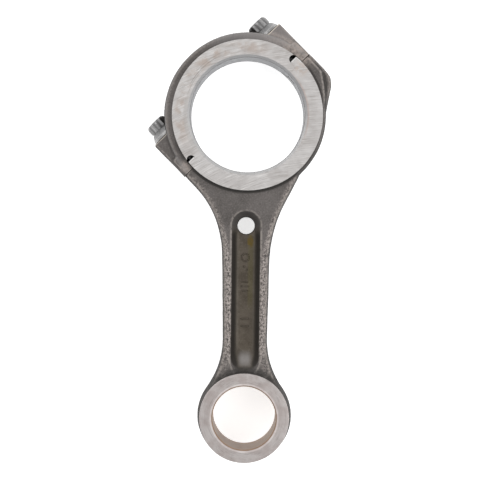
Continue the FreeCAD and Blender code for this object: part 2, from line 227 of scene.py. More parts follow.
def forged_skin(node, name, voxel, material):
    """The forging's outer skin: the CAD node resampled evenly, softened and roughened."""
    source = bpy.data.objects.new("resample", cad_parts[node].data.copy())
    bpy.context.scene.collection.objects.link(source)
    remesh = source.modifiers.new("even", "REMESH")
    remesh.mode = "VOXEL"
    remesh.voxel_size = voxel * MM
    graph = bpy.context.evaluated_depsgraph_get()
    mesh = bpy.data.meshes.new_from_object(source.evaluated_get(graph))
    bpy.data.objects.remove(source)

    points = positions(mesh) / MM
    edges = np.empty(len(mesh.edges) * 2, np.int32)
    mesh.edges.foreach_get("vertices", edges)
    edges = edges.reshape(-1, 2)
    cut = machined(points, CUT_SLACK)
    start = points.copy()
    outer = side_distance(points, normals(mesh))

    # all but the machined surfaces, then the big end's outer corners, the channel and its ramp
    points = relax(points, edges, np.where(cut, 0.0, HALF_WAY), SOFTEN_ROUNDS)
    x, y, z = points.T
    corner = (np.abs(z) < 1.7) & (np.hypot(x, y) > 55.0) & (y > -40.0)
    points = relax(points, edges, np.where(corner, HALF_WAY, 0.0), CORNER_ROUNDS)
    trough = (np.abs(x) < CHANNEL_HALF - 0.2) & (np.abs(z) < 12.4) & (y > -178) & (y < -67) & ~cut
    points = relax(points, edges, np.where(trough, HALF_WAY, 0.0), CHANNEL_ROUNDS)
    ramp = trough & (y < -151)
    points = relax(points, edges, np.where(ramp, HALF_WAY, 0.0), RAMP_ROUNDS)
    put_positions(mesh, points * MM)
    out = normals(mesh)

    # the shank's rails are rougher, and fade towards both ends and towards their outer edge
    reach = np.interp(y, [-112.0, -84.0], [7.3, 4.6])
    rail = np.clip((reach - outer) / 2.2, 0, 1) * (y < -44) * (y > -186) * (np.abs(z) > 11.5)
    rail = rail * np.interp(y, [-186.0, -176.0, -166.0, -96.0, -58.0], [0.25, 0.45, 1.0, 1.0, 0.65])
    rail = rail * np.interp(outer, [1.2, 2.6], [0.45, 1.0])

    # every point only ever moves inwards
    pits = lattice_noise(points, 1.5, 1)
    lumps = lattice_noise(points, 3.4, 2)
    waves = lattice_noise(points, 16.0, 3)
    depth = 0.03 + 0.06 * pits + 0.10 * lumps + 0.22 * waves
    depth = depth + rail * (0.16 * pits + 0.10 * lumps)
    depth = np.where(cut, SUNK_UNDER_CUT, depth)
    points = points - out * depth[:, None]
    put_positions(mesh, points * MM)
    # curvature: convex edges are scuffed lighter, hollows get painted shade in the shader
    smoothed = relax(start, edges, np.full(len(start), HALF_WAY), 4)
    hollow = np.einsum("ij,ij->i", start - smoothed, out)
    store(mesh, "wear_and_shade", np.clip(hollow * 9.0, -1, 1))
    store(mesh, "rail", rail)
    for polygon in mesh.polygons:
        polygon.use_smooth = True
    return new_object(name, mesh, material)


def store(mesh, name, values):
    attribute = mesh.attributes.new(name, "FLOAT", "POINT")
    attribute.data.foreach_set("value", np.asarray(values).astype(np.float32))


def side_distance(points, out):
    """How far each point lies in from the shank's outer side, seen along the bores."""
    x, y, z = points.T
    u = joint_coordinates(points)[0]
    shank = (y < -40.0) & (y > -192.0)
    side = (np.abs(out[:, 2]) < 0.35) & (np.abs(z) < 11.0) & (np.abs(x) > 12.0)
    side = side & shank & (np.hypot(x, y) > 54.0)
    side = side & (np.hypot(np.abs(u) - SCREW_U, z) > 8.5)
    chosen = points[side][::3]
    tree = KDTree(max(len(chosen), 1))
    for i, p in enumerate(chosen):
        tree.insert((p[0], p[1], 0.0), i)
    tree.balance()
    distance = np.full(len(points), 99.0)
    if len(chosen):
        for i in np.flatnonzero(shank & (np.abs(z) > 11.0)):
            distance[i] = tree.find((points[i, 0], points[i, 1], 0.0))[2]
    return distance


def machined_faces(node, name, material):
    """The exact machined surfaces of a CAD node, with a hair-line gap where the two halves meet."""
    work = bmesh.new()
    work.from_mesh(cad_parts[node].data)
    bmesh.ops.remove_doubles(work, verts=work.verts, dist=1e-6)
    work.faces.ensure_lookup_table()
    middles = np.array([f.calc_center_median()[:] for f in work.faces]) / MM
    keep = machined(middles, 0.0)
    drop = [f for f, k in zip(list(work.faces), keep) if not k]
    bmesh.ops.delete(work, geom=drop, context="FACES")
    work.verts.index_update()
    corners = [v.co[:] for v in work.verts]
    faces = [[v.index for v in f.verts] for f in work.faces]
    work.free()
    mesh = bpy.data.meshes.new(name)
    mesh.from_pydata(corners, [], faces)
    points = positions(mesh) / MM
    u, v = joint_coordinates(points)
    side = 1.0 if "cap" in node else -1.0
    at_joint = (np.abs(v) < 0.02) & (np.hypot(points[:, 0], points[:, 1]) < RING_R + 1)
    shift = np.where(at_joint, side * JOINT_GAP, 0.0)
    points[:, 0] -= shift / ROOT2
    points[:, 1] += shift / ROOT2

    # the flat faces end inside the softened skin's corners
    planes = (np.abs(v) < 0.02) | (np.abs(v - SEAT_V) < 0.02)
    over = np.where(planes, np.maximum(np.abs(u) - OUTERMOST_U, 0.0) * np.sign(u), 0.0)
    points[:, 0] -= over / ROOT2
    points[:, 1] -= over / ROOT2
    put_positions(mesh, points * MM)
    for polygon in mesh.polygons:
        polygon.use_smooth = True
    mesh.set_sharp_from_angle(angle=math.radians(28))
    return new_object(name, mesh, material)


# ---------------------------------------------------------------- shader helpers

class Shader:
    """A material built up node by node. Lengths inside it are in millimetres."""

    def __init__(self, name):
        self.material = bpy.data.materials.new(name)
        self.material.use_nodes = True
        self.tree = self.material.node_tree
        self.surface = self.tree.nodes["Principled BSDF"]
        where = self.tree.nodes.new("ShaderNodeTexCoord")
        scale = self.tree.nodes.new("ShaderNodeVectorMath")
        scale.operation = "SCALE"
        scale.inputs["Scale"].default_value = 1.0 / MM
        self.tree.links.new(where.outputs["Object"], scale.inputs[0])
        self.place = scale.outputs[0]
        split = self.node("ShaderNodeSeparateXYZ", Vector=self.place)
        self.x, self.y, self.z = split.outputs
        self.height = self.math("ABSOLUTE", self.z)
        self.joint_u = self.times(self.math("ADD", self.x, self.y), 1 / ROOT2)
        self.joint_v = self.times(self.math("SUBTRACT", self.y, self.x), 1 / ROOT2)
        facing = self.node("ShaderNodeSeparateXYZ", Vector=where.outputs["Normal"])
        self.tilt = self.math("ABSOLUTE", facing.outputs["Z"])

    def node(self, kind, **inputs):
        made = self.tree.nodes.new(kind)
        for key, value in inputs.items():
            self.feed(made.inputs[key], value)
        return made

    def feed(self, socket, value):
        if isinstance(value, bpy.types.NodeSocket):
            self.tree.links.new(value, socket)
        else:
            socket.default_value = value

    def feed_colour(self, socket, value):
        self.feed(socket, value if isinstance(value, bpy.types.NodeSocket) else (*value, 1.0))

    def math(self, operation, a, b=0.0, c=0.0, clamp=False):
        made = self.tree.nodes.new("ShaderNodeMath")
        made.operation = operation
        made.use_clamp = clamp
        for socket, value in zip(made.inputs, (a, b, c)):
            self.feed(socket, value)
        return made.outputs[0]

    def times(self, a, b, clamp=False):
        return self.math("MULTIPLY", a, b, clamp=clamp)

    def step(self, value, low, high, out_low=0.0, out_high=1.0):
        made = self.node("ShaderNodeMapRange", Value=value)
        made.interpolation_type = "SMOOTHSTEP"
        self.feed(made.inputs["From Min"], low)
        self.feed(made.inputs["From Max"], high)
        self.feed(made.inputs["To Min"], out_low)
        self.feed(made.inputs["To Max"], out_high)
        return made.outputs["Result"]

    def band(self, value, low, high, soft):
        inside = self.step(value, low - soft, low + soft)
        return self.times(inside, self.step(value, high - soft, high + soft, 1.0, 0.0))

    def noise(self, scale, detail=4.0, rough=0.55, vector=None, distortion=0.0):
        made = self.node("ShaderNodeTexNoise", Vector=vector or self.place)
        made.inputs["Scale"].default_value = scale
        made.inputs["Detail"].default_value = detail
        made.inputs["Roughness"].default_value = rough
        made.inputs["Distortion"].default_value = distortion
        return made.outputs["Fac"]

    def mapped(self, scale, rotation=(0, 0, 0), location=(0, 0, 0)):
        made = self.node("ShaderNodeMapping", Vector=self.place)
        made.inputs["Scale"].default_value = scale
        made.inputs["Rotation"].default_value = rotation
        made.inputs["Location"].default_value = location
        return made.outputs[0]

    def mix(self, amount, a, b):
        made = self.tree.nodes.new("ShaderNodeMix")
        made.data_type = "RGBA"
        self.feed(made.inputs["Factor"], amount)
        self.feed_colour(made.inputs["A"], a)
        self.feed_colour(made.inputs["B"], b)
        return made.outputs["Result"]

    def distance(self, x, y):
        dx = self.math("SUBTRACT", self.x, x)
        dy = self.math("SUBTRACT", self.y, y)
        squares = self.math("ADD", self.times(dx, dx), self.times(dy, dy))
        return self.math("SQRT", squares)

    def bump(self, height, strength, distance, under=None):
        made = self.node("ShaderNodeBump", Height=height)
        made.inputs["Strength"].default_value = strength
        made.inputs["Distance"].default_value = distance * MM
        if under:
            self.tree.links.new(under, made.inputs["Normal"])
        return made.outputs["Normal"]

    def finish(self, colour, roughness, metallic, normal):
        self.feed_colour(self.surface.inputs["Base Color"], colour)
        self.feed(self.surface.inputs["Roughness"], roughness)
        self.feed(self.surface.inputs["Metallic"], metallic)
        self.tree.links.new(normal, self.surface.inputs["Normal"])
        return self.material


# ---------------------------------------------------------------- materials

def channel_colours(s, body, fine):
    """Greenish-brown channel floor between walls painted dark as shade, with a painted highlight on
    the ramp at its lower end and painted shade round the web hole.
    """
    width = s.math("ABSOLUTE", s.x)
    mouth = s.band(s.y, -180.0, -69.0, 3.0)
    inside = s.times(s.step(width, 9.6, 10.3, 1.0, 0.0), mouth)
    deep = s.times(inside, s.step(s.height, 13.2, 12.0))
    # painted shade on the channel walls, closing in towards the lower end
    closing = s.step(s.y, -181.0, -167.0, 2.4, 0.0)
    shade = s.step(s.math("ADD", width, closing), 5.4, 8.2)
    shade = s.times(shade, s.band(s.y, -181.0, -82.0, 4.0))
    mottled = s.step(s.noise(0.11, 3.0), 0.35, 0.65)
    tone = s.mix(mottled, (0.072, 0.058, 0.043), (0.108, 0.090, 0.070))
    tone = s.mix(s.step(fine, 0.5, 0.75, 0.0, 0.35), tone, (0.20, 0.185, 0.155))
    tone = s.mix(s.step(width, 4.0, 6.2, 0.0, 0.34), tone, (0.165, 0.150, 0.130))
    green = s.times(s.band(s.x, 1.6, 5.2, 0.9), s.band(s.y, -136.0, -86.0, 6.0))
    tone = s.mix(s.times(green, 0.35), tone, (0.125, 0.110, 0.042))
    # painted highlight on the ramp at the channel's lower end
    ramp_highlight = s.times(s.band(s.y, -177.5, -169.5, 3.6), s.step(width, 6.4, 1.6))
    tone = s.mix(ramp_highlight, tone, (0.270, 0.254, 0.244))
    tone = s.mix(s.step(s.y, -84.0, -76.0), tone, (0.125, 0.115, 0.108))
    tone = s.mix(s.times(shade, 0.93), tone, (0.027, 0.024, 0.021))
    body = s.mix(s.times(deep, 0.92), body, tone)

    # painted shade in a soft ring round the channel's top end, above the web hole
    web_hole_shade = s.step(s.distance(0.0, CHANNEL_TOP_Y), 12.5, 8.5)
    web_hole_shade = s.times(web_hole_shade, s.step(s.y, CHANNEL_TOP_Y - 4.0, CHANNEL_TOP_Y + 2.0, 0.0, 0.50))
    return s.mix(web_hole_shade, body, (0.048, 0.044, 0.041))


def ring_shadows(s, body):
    """Painted shade beside the raised rings: below the big end's ring and on the shank by the eye.
    """
    foot = s.band(s.distance(0.0, 0.0), RING_R - 1.0, RING_R + 1.9, 1.3)
    foot = s.times(foot, s.step(s.y, -30.0, -14.0, 0.80, 0.10))
    body = s.mix(foot, body, (0.030, 0.028, 0.026))
    eye = s.band(s.distance(0.0, -CENTRE_DISTANCE), 33.0, 35.6, 1.6)
    eye = s.times(eye, s.step(s.y, -196.0, -188.0))
    return s.mix(s.times(eye, 0.62), body, (0.034, 0.032, 0.030))


def stains(s, body):
    """A rust-coloured stain below the web hole, and pink-brown patches by the joints."""
    across = s.math("SUBTRACT", s.x, 3.1)
    down = s.times(s.math("ADD", s.y, 89.6), 0.5)
    reach = s.math("ADD", s.times(across, across), s.times(down, down))
    stain = s.times(s.step(reach, 8.0, 1.0), s.step(s.noise(0.45), 0.30, 0.50))
    stain = s.times(stain, s.step(s.height, 8.0, 6.0))
    body = s.mix(s.times(stain, 0.9), body, (0.125, 0.086, 0.022))
    patches = ((36.5, 46.5, 18.0), (27.0, 53.0, 13.0), (16.0, 57.5, 9.0), (-43.5, -37.0, 6.0))
    for at_x, at_y, reach in patches:
        patch = s.step(s.distance(at_x, at_y), reach, reach * 0.2)
        patch = s.times(patch, s.step(s.distance(0.0, 0.0), 63.0, 60.0))
        patch = s.times(patch, s.step(s.noise(0.42, 6.0, 0.72), 0.24, 0.72))
        body = s.mix(s.times(patch, 0.74), body, (0.480, 0.410, 0.370))
    return body


def cap_tones(s, body):
    """Paler boss, crown and rim on the cap."""
    boss = s.times(s.step(s.joint_u, 30.0, 40.0), s.step(s.joint_v, 13.0, 18.0))
    body = s.mix(s.times(boss, 0.38), body, (0.300, 0.272, 0.262))
    crown = s.times(s.step(s.y, 44.0, 58.0), s.step(s.height, 11.0, 14.0))
    body = s.mix(s.times(crown, 0.55), body, (0.230, 0.222, 0.222))
    lip = s.times(s.band(s.distance(0.0, 0.0), 57.4, 59.4, 0.6), s.step(s.height, 12.5, 14.5))
    lip = s.times(lip, s.step(s.joint_v, 0.0, 2.0))
    return s.mix(s.times(lip, 0.30), body, (0.280, 0.270, 0.264))


def seat_edges(s, body):
    """A bright machined edge round the screw seats."""
    seat = s.band(s.joint_v, SEAT_V - 1.0, SEAT_V + 0.3, 0.25)
    seat = s.times(seat, s.band(s.height, 8.0, 12.5, 0.4))
    seat = s.times(seat, s.step(s.joint_u, -10.0, 10.0, 0.40, 0.85))
    return s.mix(seat, body, (0.56, 0.51, 0.45))


def forged_steel(name, warm, hollow):
    """Dark scaled forging: mottled body, speckled rails, brownish channel with walls painted darker
    as shade.
    """
    s = Shader(name)
    broad = s.noise(0.045, 5.0, 0.6)
    fine = s.noise(0.9, 6.0, 0.7)
    body = s.mix(s.step(broad, 0.32, 0.68), (0.084, 0.076, 0.072), (0.130, 0.118, 0.113))
    body = s.mix(s.step(fine, 0.48, 0.76, 0.0, 0.55), body, (0.225, 0.208, 0.196))
    body = s.mix(s.step(fine, 0.28, 0.46, 0.55, 0.0), body, (0.050, 0.046, 0.043))

    # convex edges are lighter where scuffed, and hollows get painted shade
    wear_and_shade = s.node("ShaderNodeAttribute")
    wear_and_shade.attribute_name = "wear_and_shade"
    edge = s.times(s.step(wear_and_shade.outputs["Fac"], 0.15, 0.9), s.step(s.noise(0.5), 0.30, 0.58))
    body = s.mix(s.times(edge, 0.60), body, (0.36, 0.325, 0.30))
    body = s.mix(s.step(wear_and_shade.outputs["Fac"], -0.8, -0.12, hollow, 0.0), body, (0.038, 0.035, 0.032))

    # painted shade: upright sides are darker than the faces
    upright = s.step(s.tilt, 0.75, 0.35)
    body = s.mix(s.times(upright, 0.80), body, (0.044, 0.041, 0.039))

    # speckled rails along the shank
    rail = s.node("ShaderNodeAttribute")
    rail.attribute_name = "rail"
    fleck = s.noise(0.86, 5.0, 0.74, s.mapped((1.0, 0.72, 1.0)), 0.3)
    pale = s.mix(s.step(fleck, 0.40, 0.61), (0.054, 0.049, 0.046), (0.455, 0.405, 0.378))
    body = s.mix(s.times(rail.outputs["Fac"], 0.85), body, pale)

    body = channel_colours(s, body, fine)
    body = ring_shadows(s, body)
    body = stains(s, body)
    body = s.mix(warm, body, (0.235, 0.212, 0.202))
    body = cap_tones(s, body)
    body = seat_edges(s, body)

    roughness = s.step(fine, 0.25, 0.8, 0.64, 0.44)
    roughness = s.math("MAXIMUM", roughness, s.times(upright, 0.9))
    metallic = s.step(s.tilt, 0.35, 0.75, 0.0, 0.35)
    s.surface.inputs["Specular IOR Level"].default_value = 0.15
    grain = s.bump(s.noise(2.6, 5.0, 0.75), 0.55, 0.10)
    scale = s.bump(s.noise(0.8, 4.0, 0.6), 0.5, 0.25, grain)
    flecks = s.bump(s.times(fleck, rail.outputs["Fac"]), 0.7, 0.5, scale)
    return s.finish(body, roughness, metallic, flecks)


def thrust_face(s, lines, hairs):
    """The big end's ground faces, with handling stains, scratches and painted highlights on the
    tongues.
    """
    r = s.distance(0.0, 0.0)
    cloud = s.step(s.noise(0.06, 4.0, 0.6), 0.3, 0.7)
    face = s.mix(cloud, (0.470, 0.450, 0.440), (0.565, 0.550, 0.543))
    face = s.mix(s.step(lines, 0.50, 0.66, 0.0, 0.68), face, (0.32, 0.295, 0.275))
    face = s.mix(s.step(lines, 0.32, 0.46, 0.68, 0.0), face, (0.76, 0.74, 0.725))
    face = s.mix(s.step(hairs, 0.52, 0.75, 0.0, 0.50), face, (0.31, 0.29, 0.275))

    # faint brown and pink handling stains on the cap's ring, and thin scratches
    upper = s.times(s.band(r, 44.0, 51.0, 2.0), s.step(s.y, -30.0, -4.0))
    leftish = s.times(upper, s.step(s.x, 22.0, -2.0))
    spots = s.times(leftish, s.step(s.noise(0.10, 5.0, 0.65), 0.42, 0.62))
    face = s.mix(s.times(spots, 0.75), face, (0.390, 0.325, 0.285))
    scratches = ((45.6, 22.0, 41.0, 0.75), (44.5, 14.0, 30.0, 0.50), (47.2, 30.0, 45.0, 0.45))
    for at, low, high, depth in scratches:
        scratch = s.times(s.band(r, at - 0.15, at + 0.15, 0.2), s.band(s.y, low, high, 3.0))
        scratch = s.times(scratch, s.step(s.x, 6.0, -8.0))
        face = s.mix(s.times(scratch, depth), face, (0.13, 0.115, 0.105))
    # a darker strip just outside the chamfer on the ring's left
    left_inner_strip = s.band(r, BORE_R + 1.9, BORE_R + 4.6, 0.5)
    left_inner_strip = s.times(left_inner_strip, s.band(s.y, -20.0, 14.0, 9.0))
    left_inner_strip = s.times(left_inner_strip, s.step(s.x, -20.0, -34.0))
    face = s.mix(s.times(left_inner_strip, 0.55), face, (0.400, 0.385, 0.375))
    inner = s.times(s.band(r, BORE_R + 1.0, BORE_R + 2.9, 0.7), s.band(s.y, -14.0, 26.0, 8.0))
    inner = s.times(inner, s.step(s.x, 20.0, 34.0))
    face = s.mix(s.times(inner, 0.6), face, (0.40, 0.315, 0.285))
    by_joint = s.step(s.distance(37.0, 33.0), 8.0, 2.0)
    by_joint = s.times(by_joint, s.step(s.noise(0.35, 4.0), 0.38, 0.6))
    face = s.mix(s.times(by_joint, 0.55), face, (0.45, 0.365, 0.315))

    # painted highlight on the far tongue's outer flank and on both tongues' tops
    outward = s.math("SUBTRACT", s.math("ABSOLUTE", s.joint_u), SCREW_U)
    flank = s.band(outward, TONGUE_HALF - 0.6, TONGUE_HALF, 0.1)
    flank = s.times(flank, s.band(s.joint_v, 0.6, TONGUE_TOP, 0.1))
    flank = s.times(flank, s.step(s.joint_u, -10.0, 10.0))
    top = s.step(s.math("ABSOLUTE", outward), TONGUE_HALF, TONGUE_HALF - 0.1)
    top = s.times(top, s.band(s.joint_v, TONGUE_TOP - 0.7, TONGUE_TOP, 0.1))
    tongue_highlight = s.math("MAXIMUM", flank, top)
    face = s.mix(s.times(tongue_highlight, 0.55), face, (0.88, 0.87, 0.86))
    speck = s.step(s.noise(1.7, 2.0, 0.5), 0.71, 0.77)
    return s.mix(s.times(speck, 0.4), face, (0.24, 0.21, 0.195))


def small_end_face(s, small):
    """The small end's face: a little darker and pinker, with turned rings."""
    across = s.times(small, 2.4)
    turned = s.node("ShaderNodeCombineXYZ", X=across, Y=s.times(s.x, 0.15))
    rings = s.noise(1.0, 4.0, 0.7, turned.outputs[0])
    eye = s.mix(s.step(s.noise(0.14, 4.0), 0.35, 0.65), FACED_DARK, FACED_PALE)
    eye = s.mix(s.step(rings, 0.50, 0.68, 0.0, 0.70), eye, (0.30, 0.262, 0.250))
    return s.mix(s.step(rings, 0.26, 0.44, 0.35, 0.0), eye, (0.60, 0.56, 0.545))


def ground_steel():
    """Ground thrust faces with arcing lines, honed bore walls, and a turned small-end face."""
    s = Shader("ground_steel")
    r = s.distance(0.0, 0.0)
    small = s.distance(0.0, -CENTRE_DISTANCE)

    # the grinding wheel leaves long arcs about a centre off to one side
    swing = s.distance(60.0, -205.0)
    arcs = s.node("ShaderNodeCombineXYZ", X=s.times(swing, 1.25), Y=s.times(s.x, 0.06))
    lines = s.noise(1.0, 4.0, 0.7, arcs.outputs[0])
    threads = s.node("ShaderNodeCombineXYZ", X=s.times(swing, 4.2), Y=s.times(s.x, 0.12))
    hairs = s.noise(1.0, 2.0, 0.6, threads.outputs[0])
    is_eye = s.step(small, 40.0, 39.0)
    colour = s.mix(is_eye, thrust_face(s, lines, hairs), small_end_face(s, small))

    # honed bore wall, chamfer with painted light that grows towards the bottom, and the thrust
    # ring's turned edge
    wall = s.step(r, BORE_R + 0.30, BORE_R + 0.05)
    colour = s.mix(wall, colour, (0.190, 0.193, 0.203))
    chamfer = s.band(r, BORE_R + 0.3, BORE_R + 1.85, 0.1)
    cloudy = s.step(s.noise(0.07, 4.0, 0.6), 0.35, 0.65, 0.0, 0.2)
    light_and_wear = s.math("ADD", s.step(s.y, 22.0, -20.0, -0.1, 1.0), cloudy, clamp=True)
    bevel = s.mix(light_and_wear, (0.460, 0.462, 0.468), (0.800, 0.795, 0.790))
    colour = s.mix(s.times(chamfer, 0.85), colour, bevel)
    # painted shade: the thrust ring's outer wall is painted dark
    edge = s.step(s.height, FORGED_HALF + 3.2, FORGED_HALF + 0.4)
    edge = s.times(edge, s.step(r, RING_R - 0.3, RING_R - 0.1))
    colour = s.mix(s.times(edge, 0.75), colour, (0.075, 0.069, 0.065))

    # painted shade inside the grooves
    off_axis = s.math("ABSOLUTE", s.math("SUBTRACT", s.math("ABSOLUTE", s.joint_u), SCREW_U))
    in_groove = s.step(off_axis, TONGUE_HALF + 0.4, TONGUE_HALF + 0.1)
    in_groove = s.times(in_groove, s.step(s.joint_v, 0.1, 0.4))
    in_groove = s.times(in_groove, s.step(s.height, BIG_HALF - 0.02, BIG_HALF - 0.3))
    colour = s.mix(s.times(in_groove, 0.9), colour, (0.022, 0.021, 0.020))

    # cross-hatching in the bore and grinding lines on the faces
    hatch_a = s.noise(1.0, 2.0, 0.6, s.mapped((0.5, 0.5, 5.0), (0.5, 0, 0)))
    hatch_b = s.noise(1.0, 2.0, 0.6, s.mapped((0.5, 0.5, 5.0), (-0.5, 0, 0)))
    hatch = s.times(s.math("ADD", hatch_a, hatch_b), s.times(wall, 0.5))
    faces = s.times(s.math("ADD", lines, hairs), s.math("SUBTRACT", 1.0, wall))
    normal = s.bump(s.math("ADD", faces, hatch), 0.35, 0.04)
    roughness = s.step(s.noise(0.25, 4.0), 0.3, 0.7, 0.36, 0.48)
    return s.finish(colour, roughness, 0.85, normal)


def bush_bronze():
    """Bronze bush, faced off with the eye, brown in the bore with a brighter lip."""
    s = Shader("bush_bronze")
    mottled = s.noise(0.22, 5.0, 0.65)
    colour = s.mix(s.step(mottled, 0.3, 0.7), (0.240, 0.162, 0.112), (0.330, 0.240, 0.178))
    rings = s.noise(1.0, 3.0, 0.7, s.mapped((0.25, 0.25, 4.0)))
    colour = s.mix(s.step(rings, 0.5, 0.72, 0.0, 0.45), colour, (0.38, 0.285, 0.215))
    lip = s.band(s.height, SMALL_HALF - 1.7, SMALL_HALF - 0.55, 0.15)
    light_and_wear = s.times(lip, s.step(s.noise(0.25), 0.25, 0.5, 0.35, 0.9))
    colour = s.mix(light_and_wear, colour, (0.34, 0.225, 0.155))
    faced = s.mix(s.step(s.noise(0.14, 4.0), 0.35, 0.65), FACED_DARK, FACED_PALE)
    face_start = SMALL_HALF - 0.30
    face_full = SMALL_HALF - 0.08
    colour = s.mix(s.step(s.height, face_start, face_full), colour, faced)
    normal = s.bump(rings, 0.4, 0.03)
    metallic = s.step(s.height, face_start, face_full, 0.25, 0.85)
    s.surface.inputs["Specular IOR Level"].default_value = 0.2
    return s.finish(colour, s.step(mottled, 0.3, 0.7, 0.36, 0.50), metallic, normal)


def screw_steel():
    """Phosphated screw: grey crests, valleys painted darker as shade, scuffed edges."""
    s = Shader("screw_steel")
    grain = s.noise(1.1, 5.0, 0.7)
    colour = s.mix(s.step(grain, 0.3, 0.7), (0.190, 0.188, 0.190), (0.310, 0.308, 0.310))
    scored = s.node("ShaderNodeCombineXYZ", X=s.times(s.joint_v, 0.12), Y=s.joint_u, Z=s.z)
    drawn = s.noise(1.7, 3.0, 0.7, scored.outputs[0])
    colour = s.mix(s.step(drawn, 0.50, 0.70, 0.0, 0.45), colour, (0.46, 0.455, 0.45))
    colour = s.mix(s.step(drawn, 0.30, 0.45, 0.40, 0.0), colour, (0.10, 0.098, 0.098))
    wear_and_shade = s.node("ShaderNodeAttribute")
    wear_and_shade.attribute_name = "wear_and_shade"
    bright = s.times(wear_and_shade.outputs["Fac"], s.step(s.noise(0.9), 0.3, 0.55), clamp=True)
    colour = s.mix(s.times(bright, 0.7), colour, (0.56, 0.55, 0.54))
    # painted shade in the thread roots, between the head's points and in the recess
    colour = s.mix(s.step(wear_and_shade.outputs["Fac"], -0.9, -0.1, 0.6, 0.0), colour, (0.06, 0.058, 0.057))
    # painted shadow on the head's side that faces the cap's rim
    shadow_beside_rim = s.step(s.math("ABSOLUTE", s.joint_u), 47.2, 45.8)
    shadow_beside_rim = s.times(shadow_beside_rim, s.step(s.joint_v, SEAT_V + 4.5, SEAT_V + 6.0))
    colour = s.mix(s.times(shadow_beside_rim, 0.8), colour, (0.030, 0.028, 0.027))
    normal = s.bump(s.math("ADD", grain, drawn), 0.5, 0.06)
    return s.finish(colour, s.step(grain, 0.3, 0.7, 0.38, 0.54), 0.7, normal)


def pale_floor():
    """A light table: white, and bright enough from within that the bores read as open."""
    s = Shader("pale_floor")
    haze = s.noise(0.006, 2.0)
    colour = s.mix(haze, (0.80, 0.80, 0.80), (0.84, 0.84, 0.84))
    s.surface.inputs["Emission Color"].default_value = (1.0, 1.0, 1.0, 1.0)
    s.surface.inputs["Emission Strength"].default_value = FLOOR_GLOW
    normal = s.bump(s.noise(0.5, 2.0), 0.02, 0.1)
    return s.finish(colour, 0.75, 0.0, normal)


# ---------------------------------------------------------------- pieces

ROD_STEEL = forged_steel("rod_scale", 0.0, 0.75)
CAP_STEEL = forged_steel("cap_scale", 0.12, 0.30)
GROUND = ground_steel()
BRONZE = bush_bronze()
SCREW_STEEL = screw_steel()


def big_parts():
    """Both forgings: a skin in place of the CAD mesh, and the exact machined faces over it."""
    for node, body, slot, material, voxel in (
        ("rod_forging", "rod", "rod_steel", ROD_STEEL, ROD_VOXEL),
        ("big_end_cap", "cap", "cap_steel", CAP_STEEL, CAP_VOXEL),
    ):
        size = voxel
        skin = forged_skin(node, node + "_skin", size, material)
        cut = machined_faces(node, node + "_cut_faces", GROUND)
        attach(skin, body)
        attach(cut, body)
        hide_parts(node)


def bush():
    """The bush keeps its CAD shape and takes a bronze finish."""
    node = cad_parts["small_end_bush"]
    node.data.materials.clear()
    node.data.materials.append(BRONZE)


def star(angle, radius):
    """Outline of the twelve-point head: two crossed hexagons."""
    spacing = math.pi / 3
    flat = radius * math.cos(math.pi / 6)
    first = (angle + spacing / 2) % spacing - spacing / 2
    second = angle % spacing - spacing / 2
    hexagon_a = flat / np.cos(np.abs(np.abs(first) - spacing / 2))
    hexagon_b = flat / np.cos(np.abs(np.abs(second) - spacing / 2))
    return np.maximum(hexagon_a, hexagon_b)


